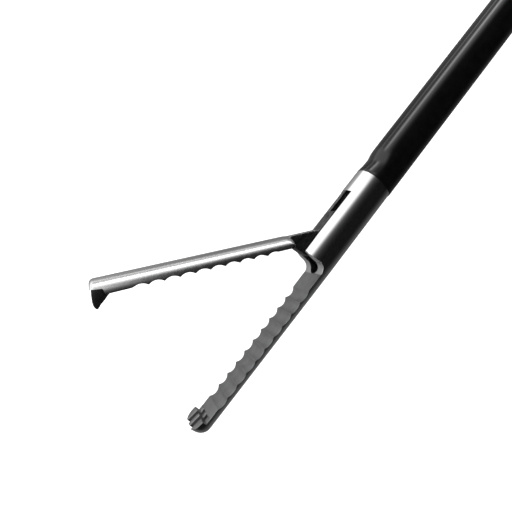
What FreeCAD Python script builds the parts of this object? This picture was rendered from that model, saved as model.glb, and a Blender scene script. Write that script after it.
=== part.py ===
import FreeCAD
import Part
import Sketcher
import math
import os
import re

# Retraction forceps for keyhole surgery, 5 mm shaft, one moving jaw, ring handle with ratchet.
# Lengths in millimetres, angles in degrees. The instrument lies on its side: the shaft is along X with the
# jaws towards -X, the jaw opens towards +Y, the rings hang towards -Y, and +Z is up.
# The origin is on the shaft's axis at the front end of the black insulation. "Reach" is a distance towards
# the jaw tips (-X) from that origin, and "height" is measured from the shaft's axis towards +Y.

doc = FreeCAD.newDocument("RetractionForceps")

SIZES = {
    # shaft
    "shaft_radius": 2.5,
    "insulation_wall": 0.38,
    "tube_wall": 0.4,
    "nest_gap": 0.02,
    "shaft_length": 293.0,
    "insulation_hidden": 8.0,
    "neck_radius": 2.3,
    "insulation_end_slant": 0.35,
    "collar_reach": 4.0,
    "spigot_length": 5.0,
    # sleeve with the slot
    "sleeve_radius": 2.34,
    "sleeve_reach": 13.85,
    "slot_reach": 4.55,
    "slot_width": 1.9,
    "slot_depth": 1.95,
    "through_reach": 8.3,
    "slot_end_reach": 14.9,
    "shoulder_round": 0.45,
    # fixed jaw
    "jaw_reach": 37.05,
    "jaw_tip_radius": 2.26,
    "face_depth": 0.86,
    "groove_reach": 17.28,
    "tooth_pitch": 1.63,
    "tooth_depth": 0.33,
    "tooth_count": 10,
    "prong_length": 1.3,
    "prong_foot_height": -0.32,
    "prong_tip_height": -0.05,
    "comb_length": 2.1,
    "comb_slot_width": 0.78,
    "comb_slot_offset": 0.72,
    "tip_round": 0.9,
    # how far cutting shapes reach past the shaft, and past the handle
    "past": 3.0,
    "far_past": 9.0,
    # moving jaw, in its closed place
    "bite_gap": 0.05,
    "nose_step": 0.2,
    "moving_root_reach": 14.5,
    "moving_root_radius": 2.33,
    "moving_tip_radius": 2.15,
    "moving_root_back": 0.58,
    "moving_tip_back": 0.84,
    "open_angle": 37.4,
    "beak_length": 1.65,
    "beak_lean": 0.3,
    "beak_tip_depth": 2.2,
    "beak_width": 0.56,
    "tang_width": 1.7,
    "tang_corner_reach": 12.4,
    "tang_corner_depth": 2.2,
    # pivots of the jaw
    "pivot_reach": 8.14,
    "pivot_height": 1.06,
    "pivot_radius": 0.5,
    "pivot_eye_radius": 1.1,
    "running_gap": 0.04,
    "drive_arm": 2.2,
    "drive_eye_radius": 0.75,
    "link_pin_radius": 0.3,
    "open_pivot_gap": 0.09,
    "link_length": 3.4,
    "link_thickness": 0.56,
    "link_eye_radius": 0.62,
    "link_bar_half": 0.31,
    "link_slot_gap": 0.05,
    # rod
    "fork_radius": 0.88,
    "fork_bore_gap": 0.08,
    "fork_back_reach": 3.0,
    "fork_throat": 1.5,
    "rod_radius": 0.75,
    "rod_nose_radius": 0.45,
    "rod_nose_length": 2.4,
    "ball_radius": 1.5,
    "ball_end_radius": 1.0,
    "ball_belt_half": 0.35,
    # knob and bearing
    "knob_length": 22.0,
    "knob_radius": 10.0,
    "knob_neck_radius": 6.2,
    "knob_neck_length": 7.0,
    "flute_count": 6,
    "flute_radius": 4.0,
    "flute_offset": 12.5,
    "knob_gap": 0.5,
    "bearing_length": 9.5,
    "bearing_radius": 4.0,
    "ring_gap": 0.3,
    "ring_radius": 3.3,
    "ring_length": 2.0,
    "tube_tail": 1.0,
    "seal_length": 3.0,
    # cleaning port
    "port_offset": 3.5,
    "port_radius": 2.2,
    "port_bore": 1.0,
    "port_height": 13.0,
    "port_flange_radius": 3.0,
    "port_flange_height": 1.6,
    "cap_top": 1.5,
    "cap_radius": 3.9,
    "cap_height": 6.5,
    "cap_gap": 0.05,
    # handle
    "head_half": 8.0,
    "head_length": 39.0,
    "head_top": 9.5,
    "head_bottom": 16.0,
    "head_round": 3.0,
    "head_nose_step": 2.0,
    "head_tail_step": 8.0,
    "head_heel": 7.0,
    "head_keel": 6.0,
    "lever_x_offset": 20.0,
    "lever_drop": 5.2,
    "hollow_radius": 10.2,
    "hollow_half": 3.4,
    "grip_lean": 10.0,
    "grip_width": 12.0,
    "grip_half": 5.5,
    "finger_reach": 74.0,
    "finger_ring_radius": 15.5,
    "finger_hole_radius": 11.5,
    "finger_ring_half": 4.0,
    "ring_bevel": 1.4,
    # thumb lever
    "lever_half": 3.0,
    "lever_lean": 26.0,
    "lever_boss_radius": 5.0,
    "lever_head_half_width": 4.4,
    "lever_head_top": 2.4,
    "lever_arm_width": 8.0,
    "thumb_reach": 84.0,
    "thumb_ring_radius": 15.0,
    "thumb_hole_radius": 11.0,
    "thumb_ring_half": 4.0,
    "ball_pocket_gap": 0.1,
    "neck_gap": 0.3,
    "lever_screw_radius": 2.0,
    "lever_screw_deep": 6.5,
    "screw_head_radius": 3.6,
    "screw_head_height": 1.6,
    # ratchet
    "ratchet_inner": 41.0,
    "ratchet_outer": 44.0,
    "ratchet_half": 1.4,
    "ratchet_lead": 25.7,
    "ratchet_gap": 0.45,
    "notch_radius": 1.1,
    "notch_offset": 44.35,
    "notch_count": 11,
    "catch_steps": 6,
    "pawl_catch": 6.2,
    "notches_before": 4,
    "rivet_radius": 0.9,
    "rivet_proud": 0.3,
    "pawl_pivot_side": 3.0,
    "pawl_pivot_drop": 49.5,
    "pawl_half": 1.4,
    "pawl_boss_radius": 2.2,
    "pawl_pin_radius": 0.8,
    "pawl_tip_side": 3.5,
    "pawl_tip_drop": 44.26,
    "spring_thickness": 0.3,
    # electrode post and screws
    "post_offset": 30.0,
    "post_radius": 2.0,
    "post_stem_radius": 1.6,
    "post_height": 24.0,
    "post_foot": 4.0,
    "post_collar_radius": 4.5,
    "post_collar_height": 13.0,
    "post_collar_foot": 6.5,
    "screw_radius": 1.1,
    "screw_cap_radius": 2.1,
    "screw_cap_height": 1.6,
    "screw_deep": 4.0,
    "screw_drive_half": 0.3,
    "screw_drive_deep": 0.7,
    "pivot_drive_half": 0.45,
}

# Values worked out from the sizes above, as formulas of the sheet.
DERIVED = {
    "tube_radius": "shaft_radius - insulation_wall - nest_gap",
    "tube_bore": "tube_radius - tube_wall",
    "prong_reach": "jaw_reach - prong_length",
    "comb_reach": "jaw_reach - comb_length",
    "moving_reach": "jaw_reach - nose_step",
    "beak_reach": "moving_reach - beak_length",
    "beak_tip_reach": "moving_reach - beak_lean",
    "face_height": "-face_depth",
    "bite_height": "bite_gap - face_depth",
    "slot_half": "slot_width / 2",
    "tang_half": "tang_width / 2",
    "link_half": "link_thickness / 2",
    "clevis_half": "link_thickness / 2 + link_slot_gap",
    "bow_radius": "(tooth_pitch ^ 2 / 4 + tooth_depth ^ 2) / (2 * tooth_depth)",
    "drive_height": "pivot_height - drive_arm",
    "drive_open_height": "pivot_height - drive_arm * cos(open_angle)",
    "drive_open_reach": "pivot_reach + drive_arm * sin(open_angle)",
    "drive_mid_height": "pivot_height - drive_arm * cos(open_angle / 2)",
    "drive_mid_reach": "pivot_reach + drive_arm * sin(open_angle / 2)",
    "closed_tilt": "asin(-drive_height / link_length) / 1 deg",
    "open_tilt": "asin(-drive_open_height / link_length) / 1 deg",
    "mid_tilt": "asin(-drive_mid_height / link_length) / 1 deg",
    "tilt_share": "(mid_tilt - (closed_tilt + open_tilt) / 2) / 2",
    "link_tilt": "open_tilt + tilt_share",
    "closed_pin_reach": "pivot_reach - link_length * cos(closed_tilt)",
    "open_pin_reach": "drive_open_reach - link_length * cos(open_tilt)",
    "mid_pin_reach": "drive_mid_reach - link_length * cos(mid_tilt)",
    "rod_travel": "open_pin_reach - closed_pin_reach",
    "rod_pin_reach": "open_pin_reach + (mid_pin_reach - (closed_pin_reach + open_pin_reach) / 2) / 2",
    "lever_turn": "2 * asin(rod_travel / 2 / lever_drop) / 1 deg",
    "knob_x": "shaft_length",
    "head_x": "knob_x + knob_length + knob_gap",
    "port_x": "knob_x + port_offset",
    "lever_x": "head_x + lever_x_offset",
    "lever_y": "-lever_drop",
    "ball_x": "lever_x - rod_travel / 2",
    "ball_half": "sqrt(ball_radius ^ 2 - ball_end_radius ^ 2)",
    "ring_x": "head_x + bearing_length + ring_gap",
    "tube_end_x": "ring_x + ring_length + tube_tail",
    "pawl_arm_side": "pawl_tip_side + pawl_pivot_side",
    "pawl_arm_rise": "pawl_pivot_drop - pawl_tip_drop",
    "apex_side": "pawl_arm_side * cos(pawl_catch) - pawl_arm_rise * sin(pawl_catch) - pawl_pivot_side",
    "apex_drop": "pawl_pivot_drop - pawl_arm_side * sin(pawl_catch) - pawl_arm_rise * cos(pawl_catch)",
    "notch_step": "lever_turn / catch_steps",
    "notch_first": "atan(apex_side / apex_drop) / 1 deg - grip_lean - lever_turn / 2 - notches_before * notch_step",
}

WORD = re.compile(r"[a-z][a-z_]*")


def make_sheet():
    sheet = doc.addObject("Spreadsheet::Sheet", "Sizes")
    for row, (name, size) in enumerate(SIZES.items(), start=1):
        sheet.set(f"A{row}", name)
        sheet.set(f"B{row}", str(size))
        sheet.setAlias(f"B{row}", name)
    for row, (name, formula) in enumerate(DERIVED.items(), start=len(SIZES) + 1):
        sheet.set(f"A{row}", name)
        sheet.set(f"B{row}", "=" + formula)
        sheet.setAlias(f"B{row}", name)
    doc.recompute()
    return sheet


sheet = make_sheet()


def bound(text):
    """An expression with each size's name replaced by its cell in the sheet."""
    def cell(match):
        word = match.group()
        return "Sizes." + word if word in SIZES or word in DERIVED else word
    return WORD.sub(cell, str(text))


def value(text):
    """What an expression comes to with the sheet as it is."""
    return float(sheet.evalExpression(bound(text)))


def primitive(kind, name, sizes, place, axis=None, angle=0):
    piece = doc.addObject("Part::" + kind, name)
    if axis:
        piece.Placement = FreeCAD.Placement(FreeCAD.Vector(), FreeCAD.Rotation(FreeCAD.Vector(*axis), angle))
    for size_property, text in sizes.items():
        piece.setExpression(size_property, bound(text))
    for letter, text in zip("xyz", place):
        piece.setExpression("Placement.Base." + letter, bound(text))
    return piece


def rod_x(name, low, high, radius, y="0", z="0"):
    sizes = {"Radius": radius, "Height": f"({high}) - ({low})"}
    return primitive("Cylinder", name, sizes, (low, y, z), (0, 1, 0), 90)


def rod_y(name, low, high, radius, x="0", z="0"):
    sizes = {"Radius": radius, "Height": f"({high}) - ({low})"}
    return primitive("Cylinder", name, sizes, (x, low, z), (1, 0, 0), -90)


def rod_z(name, low, high, radius, x="0", y="0"):
    sizes = {"Radius": radius, "Height": f"({high}) - ({low})"}
    return primitive("Cylinder", name, sizes, (x, y, low))


def cone_x(name, low, high, low_radius, high_radius, y="0"):
    sizes = {"Radius1": low_radius, "Radius2": high_radius, "Height": f"({high}) - ({low})"}
    return primitive("Cone", name, sizes, (low, y, "0"), (0, 1, 0), 90)


def block(name, across, along, up):
    sizes = {
        "Length": f"({across[1]}) - ({across[0]})",
        "Width": f"({along[1]}) - ({along[0]})",
        "Height": f"({up[1]}) - ({up[0]})",
    }
    return primitive("Box", name, sizes, (across[0], along[0], up[0]))


def fuse(name, *pieces):
    joined = doc.addObject("Part::MultiFuse", name)
    joined.Shapes = list(pieces)
    joined.Refine = True
    return joined


def group(name, *pieces):
    """Pieces kept as they are, side by side in one object."""
    together = doc.addObject("Part::Compound", name)
    together.Links = list(pieces)
    return together


def common(name, *pieces):
    shared = doc.addObject("Part::MultiCommon", name)
    shared.Shapes = list(pieces)
    return shared


def cut(name, base, *tools):
    result = doc.addObject("Part::Cut", name)
    result.Base = base
    result.Tool = tools[0] if len(tools) == 1 else fuse(name + "_tools", *tools)
    result.Refine = True
    return result


def edge_finish(kind, name, base, size, chosen):
    """Work on the edges of base whose middle passes the test."""
    doc.recompute()
    amount = value(size)
    edges = []
    for number, edge in enumerate(base.Shape.Edges, start=1):
        middle = edge.valueAt((edge.FirstParameter + edge.LastParameter) / 2)
        if chosen(edge, middle):
            edges.append((number, amount, amount))
    finish = doc.addObject("Part::" + kind, name)
    finish.Base = base
    finish.Edges = edges
    return finish


def rounded(name, base, radius, chosen):
    return edge_finish("Fillet", name, base, radius, chosen)


def bevelled(name, base, size, chosen):
    return edge_finish("Chamfer", name, base, size, chosen)


def turned_about(piece, x, y, angle):
    """Turn a finished piece about an upright line through (x, y)."""
    piece.Placement = FreeCAD.Placement(FreeCAD.Vector(), FreeCAD.Rotation(FreeCAD.Vector(0, 0, 1), 10))
    piece.setExpression("Placement.Rotation.Angle", bound(angle))
    piece.setExpression("Placement.Base.x", bound(f"({x}) - (({x}) * cos({angle}) - ({y}) * sin({angle}))"))
    piece.setExpression("Placement.Base.y", bound(f"({y}) - (({x}) * sin({angle}) + ({y}) * cos({angle}))"))
    return piece


def outline(name, points):
    """A closed sketch on the XY plane; each corner is tied to the sheet."""
    sketch = doc.addObject("Sketcher::SketchObject", name)
    corners = [FreeCAD.Vector(value(x), value(y), 0) for x, y in points]
    count = len(corners)
    for index in range(count):
        sketch.addGeometry(Part.LineSegment(corners[index], corners[(index + 1) % count]), False)
    for index in range(count):
        sketch.addConstraint(Sketcher.Constraint("Coincident", index, 2, (index + 1) % count, 1))
    for index, (x, y) in enumerate(points):
        for kind, text, size in (("DistanceX", x, corners[index].x), ("DistanceY", y, corners[index].y)):
            number = sketch.addConstraint(Sketcher.Constraint(kind, -1, 1, index, 1, size))
            sketch.setExpression(f"Constraints[{number}]", bound(text))
    return sketch


def prism(name, points, low, high):
    """A plate of the given outline between two heights along Z."""
    sketch = outline(name + "_outline", points)
    plate = doc.addObject("Part::Extrusion", name)
    plate.Base = sketch
    plate.DirMode = "Normal"
    plate.Solid = True
    plate.setExpression("LengthFwd", bound(f"({high}) - ({low})"))
    plate.setExpression("Placement.Base.z", bound(low))
    return plate


nodes = []


def sub_part(piece, name):
    piece.Label = name
    nodes.append(piece)
    return piece


PIVOT_X = "-pivot_reach"
ROD_PIN_X = "-rod_pin_reach"


def make_jaw_housing():
    sleeve = rod_x("sleeve", "-sleeve_reach", "0", "sleeve_radius")
    collar = rod_x("sleeve_collar", "0", "collar_reach", "tube_radius")
    spigot = rod_x("sleeve_spigot", "collar_reach", "collar_reach + spigot_length", "tube_bore - nest_gap")
    belly = cone_x("belly", "-jaw_reach", "-sleeve_reach", "jaw_tip_radius", "sleeve_radius")
    stem = fuse("housing_stem", sleeve, collar, spigot, belly)
    ends = block("tip_bounds", ("-jaw_reach", "collar_reach + spigot_length"), ("-past", "past"), ("-past", "past"))

    edge_limit = value("past") - 0.1

    def tip_edge(edge, middle):
        at_tip = abs(middle.x - value("-jaw_reach")) < 0.01
        return at_tip and (abs(middle.z) > edge_limit or middle.y < -edge_limit)

    shape = common("housing_rounded", stem, rounded("tip_bounds_round", ends, "tip_round", tip_edge))
    face = block("bite_space", ("-prong_reach", "-sleeve_reach"), ("face_height", "past"), ("-past", "past"))

    def shoulder_edge(edge, middle):
        return abs(middle.x - value("-sleeve_reach")) < 0.01 and abs(middle.y - value("face_height")) < 0.01

    face = rounded("bite_space_round", face, "shoulder_round", shoulder_edge)
    over_prongs = prism("over_prongs", [
        ("-prong_reach + nest_gap / 2", "prong_foot_height"),
        ("-jaw_reach - 1", "prong_tip_height"),
        ("-jaw_reach - 1", "past"),
        ("-prong_reach + nest_gap / 2", "past"),
    ], "-past", "past")
    grooves = []
    for number in range(int(value("tooth_count"))):
        x = f"-groove_reach - tooth_pitch * {number + 0.5}"
        y = "face_height + bow_radius - tooth_depth"
        grooves.append(rod_z(f"groove_{number}", "-past", "past", "bow_radius", x, y))
    slot = block("slot_top", ("-slot_end_reach - 1", "-slot_reach"), ("face_height", "past"),
                 ("-slot_half", "slot_half"))
    slot_floor = block("slot_floor", ("-through_reach - 1", "-slot_reach"), ("-slot_depth", "0"),
                       ("-slot_half", "slot_half"))
    slot_end = rod_y("slot_end", "-past", "0", "slot_half", "slot_half - slot_end_reach")
    through = block("slot_through", ("slot_half - slot_end_reach", "-through_reach"), ("-past", "0"),
                    ("-slot_half", "slot_half"))
    bore = rod_x("rod_bore", "-slot_reach - 0.5", "collar_reach + spigot_length + 1", "fork_radius + fork_bore_gap")
    pivot_hole = rod_z("pivot_hole", "-past", "past", "pivot_radius + nest_gap / 2", PIVOT_X, "pivot_height")
    comb = []
    for side in (-1, 1):
        middle = f"{side} * comb_slot_offset"
        comb.append(block(f"comb_slot_{side + 1}", ("-jaw_reach - 1", "-comb_reach"), ("-past", "past"),
                          (f"{middle} - comb_slot_width / 2", f"{middle} + comb_slot_width / 2")))
    tools = [face, over_prongs, *grooves, slot, slot_floor, slot_end, through, bore, pivot_hole, *comb]
    sub_part(cut("housing", shape, *tools), "jaw_housing")


def make_moving_jaw():
    rise = "(moving_tip_back - moving_tip_radius) - (moving_root_back - moving_root_radius)"
    run = "(moving_reach - moving_root_reach)"
    back = primitive("Cone", "jaw_back", {
        "Radius1": "moving_tip_radius",
        "Radius2": "moving_root_radius",
        "Height": run,
    }, ("-moving_reach", "moving_tip_back - moving_tip_radius", "0"), (0, 1, 0), 90)
    tilt = math.degrees(math.atan2(value(rise), value(run)))
    back.Placement.Rotation = FreeCAD.Rotation(FreeCAD.Vector(0, 0, 1), -tilt).multiply(back.Placement.Rotation)
    bounds = block("jaw_bounds", ("-moving_reach", "-moving_root_reach"), ("bite_height", "past"), ("-past", "past"))

    def nose_edge(edge, middle):
        return abs(middle.x - value("-moving_reach")) < 0.01 and abs(middle.z) > value("past") - 0.1

    back = common("jaw_back_half", back, rounded("jaw_bounds_round", bounds, "tip_round", nose_edge))
    bows = []
    for number in range(int(value("tooth_count"))):
        x = f"-groove_reach - tooth_pitch * {number}"
        y = "bite_height - bow_radius + tooth_depth"
        bows.append(rod_z(f"bow_{number}", "-past", "past", "bow_radius", x, y))
    pocket_top = "prong_tip_height + 3 * bite_gap"
    pocket = block("prong_pocket", ("-moving_reach - 1", "-prong_reach + 0.25"), ("-past", pocket_top),
                   ("-past", "past"))
    teeth = []
    for side in (-1, 1):
        middle = f"{side} * comb_slot_offset"
        low = f"{middle} - beak_width / 2"
        high = f"{middle} + beak_width / 2"
        teeth.append(prism(f"beak_{side + 1}", [
            ("-beak_reach", "bite_height + 0.3"),
            ("-beak_reach", "bite_height"),
            ("-beak_tip_reach + 0.12", "-beak_tip_depth"),
            ("-beak_tip_reach - 0.1", "-beak_tip_depth"),
            ("-moving_reach + 0.05", "bite_height"),
            ("-moving_reach + 0.15", f"{pocket_top} + 0.15"),
            ("-beak_reach", f"{pocket_top} + 0.15"),
        ], low, high))
    blade = cut("jaw_blade", back, *bows, pocket)
    tang_plate = prism("tang_plate", [
        ("-moving_root_reach - 1.5", "bite_height"),
        ("-moving_root_reach - 1.5", "moving_root_back - 0.12"),
        ("-pivot_reach - pivot_eye_radius - 1.2", "moving_root_back - 0.12"),
        ("-pivot_reach - 0.5 * pivot_eye_radius", "pivot_height + 0.85 * pivot_eye_radius"),
        (PIVOT_X, "pivot_height"),
        (PIVOT_X + " + 0.95 * drive_eye_radius", "drive_height + 0.2"),
        (PIVOT_X, "drive_height - 0.98 * drive_eye_radius"),
        ("-tang_corner_reach + 1.2", "-tang_corner_depth"),
        ("-tang_corner_reach", "-tang_corner_depth"),
        ("-moving_root_reach + 0.2", "bite_height"),
    ], "-tang_half", "tang_half")
    pivot_eye = rod_z("tang_pivot_eye", "-tang_half", "tang_half", "pivot_eye_radius", PIVOT_X, "pivot_height")
    drive_eye = rod_z("tang_drive_eye", "-tang_half", "tang_half", "drive_eye_radius", PIVOT_X, "drive_height")
    solid = fuse("jaw_solid", blade, *teeth, tang_plate, pivot_eye, drive_eye)
    pivot_hole = rod_z("tang_pivot_hole", "-past", "past", "pivot_radius + running_gap", PIVOT_X, "pivot_height")
    drive_hole = rod_z("tang_drive_hole", "-past", "past", "link_pin_radius + nest_gap / 2", PIVOT_X, "drive_height")
    clevis = rod_z("tang_clevis", "-clevis_half", "clevis_half", "drive_eye_radius + 0.6", PIVOT_X,
                   "drive_height")
    jaw = cut("jaw_cut", solid, pivot_hole, drive_hole, clevis)
    sub_part(turned_about(jaw, PIVOT_X, "pivot_height", "-open_angle"), "moving_jaw")


def make_jaw_pins():
    pin = rod_z("pivot_pin_bar", "-past", "past", "pivot_radius", PIVOT_X, "pivot_height")
    bounds = rod_x("pivot_pin_bounds", "-sleeve_reach", "0", "sleeve_radius - nest_gap")
    sub_part(common("pivot_pin", pin, bounds), "jaw_pivot_pin")
    sub_part(rod_z("front_pin", "-tang_half", "tang_half", "link_pin_radius", "-drive_open_reach",
                   "drive_open_height"),
             "link_front_pin")
    sub_part(rod_z("rear_pin", "-fork_radius + 0.1", "fork_radius - 0.1", "link_pin_radius", ROD_PIN_X),
             "link_rear_pin")


def make_drive_link():
    end_x = "-rod_pin_reach - link_length"
    eye = rod_z("link_rear_eye", "-link_half", "link_half", "link_eye_radius", ROD_PIN_X)
    far_eye = rod_z("link_front_eye", "-link_half", "link_half", "link_eye_radius", end_x)
    bar = block("link_bar", (end_x, ROD_PIN_X), ("-link_bar_half", "link_bar_half"),
                ("-link_half", "link_half"))
    rear_hole = rod_z("link_rear_hole", "-1", "1", "link_pin_radius + running_gap", ROD_PIN_X)
    front_hole = rod_z("link_front_hole", "-1", "1", "link_pin_radius + open_pivot_gap", end_x)
    link = cut("link", fuse("link_solid", eye, far_eye, bar), rear_hole, front_hole)
    sub_part(turned_about(link, ROD_PIN_X, "0", "link_tilt"), "drive_link")


def make_rod():
    tip_x = "-rod_pin_reach - fork_radius"
    bar = rod_x("fork_bar", tip_x, "fork_back_reach", "fork_radius")
    side = fuse("fork_side",
                block("fork_side_bar", (ROD_PIN_X, "fork_back_reach"), ("-2", "2"), ("-2", "2")),
                rod_z("fork_side_eye", "-2", "2", "fork_radius", ROD_PIN_X))
    throat = block("fork_slot", (tip_x + " - 1", "-rod_pin_reach + fork_throat"), ("-2", "2"),
                   ("-clevis_half", "clevis_half"))
    pin_hole = rod_z("fork_pin_hole", "-2", "2", "link_pin_radius + nest_gap / 2", ROD_PIN_X)
    socket = rod_x("fork_socket", "fork_back_reach - rod_nose_length", "fork_back_reach + 1",
                   "rod_nose_radius + nest_gap")
    sub_part(cut("fork", common("fork_round", bar, side), throat, pin_hole, socket), "rod_fork")
    rod = rod_x("rod_bar", "fork_back_reach", "ball_x", "rod_radius")
    nose = rod_x("rod_nose", "fork_back_reach - rod_nose_length + nest_gap", "fork_back_reach + 1", "rod_nose_radius")
    sub_part(fuse("rod", rod, nose), "push_rod")
    ball = fuse("ball_solid",
                cone_x("ball_front", "ball_x - ball_half", "ball_x - ball_belt_half", "ball_end_radius", "ball_radius"),
                rod_x("ball_belt", "ball_x - ball_belt_half", "ball_x + ball_belt_half", "ball_radius"),
                cone_x("ball_rear", "ball_x + ball_belt_half", "ball_x + ball_half", "ball_radius", "ball_end_radius"))
    seat = rod_x("ball_seat", "ball_x - ball_half - 1", "ball_x + nest_gap", "rod_radius + nest_gap")
    sub_part(cut("ball", ball, seat), "rod_ball")


def make_shaft():
    tube = rod_x("tube_outer", "collar_reach", "tube_end_x", "tube_radius")
    sub_part(cut("tube", tube, rod_x("tube_inner", "0", "tube_end_x + 1", "tube_bore")), "shaft_tube")
    cover = fuse("insulation_outer",
                 rod_x("insulation_body", "-insulation_end_slant", "knob_x", "shaft_radius"),
                 rod_x("insulation_neck", "knob_x - 1", "knob_x + insulation_hidden", "neck_radius"))
    cover_bore = rod_x("insulation_bore", "-2", "knob_x + insulation_hidden + 1", "tube_radius + nest_gap")
    slant = prism("insulation_slant", [
        ("-3", "-4"),
        ("-insulation_end_slant - 0.01", "-4"),
        ("-insulation_end_slant * 0.6", "-1"),
        ("0.15", "1.6"),
        ("0.3", "4"),
        ("-3", "4"),
    ], "-4", "4")
    bounds = rod_x("sleeve_back", "-past", "0", "sleeve_radius + nest_gap")
    sub_part(cut("insulation", cover, cover_bore, slant, bounds), "shaft_insulation")
    ring = rod_x("collar_ring", "ring_x", "ring_x + ring_length", "ring_radius")
    sub_part(cut("collar_ring_cut", ring, rod_x("collar_ring_bore", "ring_x - 1", "ring_x + ring_length + 1",
                                                "tube_radius + nest_gap")), "shaft_collar")
    seal_x = "ring_x - seal_length"
    seal = rod_x("seal_outer", seal_x, "ring_x", "tube_bore - nest_gap")
    sub_part(cut("seal", seal, rod_x("seal_bore", seal_x + " - 1", "ring_x + 1", "rod_radius + running_gap")),
             "shaft_seal")


def make_knob():
    neck = rod_x("knob_neck", "knob_x", "knob_x + knob_neck_length + 1", "knob_neck_radius")
    flare_start = "knob_x + knob_neck_length"
    flare = cone_x("knob_flare", flare_start, flare_start + " + 4", "knob_neck_radius", "knob_radius")
    wheel = rod_x("knob_wheel", flare_start + " + 4", "knob_x + knob_length", "knob_radius")
    body = fuse("knob_body", neck, flare, wheel)
    flutes = []
    for number in range(int(value("flute_count"))):
        angle = f"{number} * 360 / flute_count + 90 / flute_count"
        flutes.append(rod_x(f"flute_{number}", flare_start + " + 1.5", "knob_x + knob_length + 1", "flute_radius",
                            f"flute_offset * sin({angle})", f"flute_offset * cos({angle})"))
    through = rod_x("knob_bore", "knob_x - 1", "knob_x + knob_length + 1", "tube_radius + nest_gap")
    seat = rod_x("knob_seat", "knob_x - 1", "knob_x + insulation_hidden", "neck_radius + nest_gap")
    port_seat = rod_z("knob_port_seat", "shaft_radius", "20", "port_radius + nest_gap", "port_x")
    sub_part(cut("knob", body, *flutes, through, seat, port_seat), "rotation_knob")
    port = fuse("port_solid",
                rod_z("port_tube", "shaft_radius + nest_gap", "port_height", "port_radius", "port_x"),
                rod_z("port_flange", "port_height - port_flange_height", "port_height", "port_flange_radius",
                      "port_x"))
    sub_part(cut("port", port, rod_z("port_inner", "0", "port_height + 1", "port_bore", "port_x"),
                 rod_x("port_clear", "0", "knob_x + knob_length", "shaft_radius + nest_gap")), "flush_port")
    cap_top = "port_height + cap_top"
    cap = rod_z("cap_wall", cap_top + " - cap_height", cap_top, "cap_radius", "port_x")
    hollow = rod_z("cap_hollow", cap_top + " - cap_height - 1", "port_height + cap_gap",
                   "port_flange_radius + cap_gap", "port_x")
    sub_part(cut("cap", cap, hollow), "flush_cap")
    bearing = rod_x("bearing_tube", "head_x", "head_x + bearing_length", "bearing_radius")
    sub_part(cut("bearing", bearing, rod_x("bearing_bore", "head_x - 1", "head_x + bearing_length + 1",
                                           "tube_radius + running_gap")), "knob_bearing")


def arm_sweep(name, width, low, high, length):
    """The room that the lever's arm needs on its way from open to closed."""
    rooms = []
    for number, share in enumerate((-0.5, 0, 0.5)):
        room = block(f"{name}_{number}", (f"lever_x - ({width}) / 2", f"lever_x + ({width}) / 2"),
                     (f"lever_y - ({length})", "lever_y"), (low, high))
        arm = fuse(f"{name}_turn_{number}", room, rod_z(f"{name}_eye_{number}", low, high, f"({width}) / 2",
                                                          "lever_x", "lever_y"))
        rooms.append(turned_about(arm, "lever_x", "lever_y", f"lever_lean + {share} * lever_turn"))
    return rooms


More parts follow.
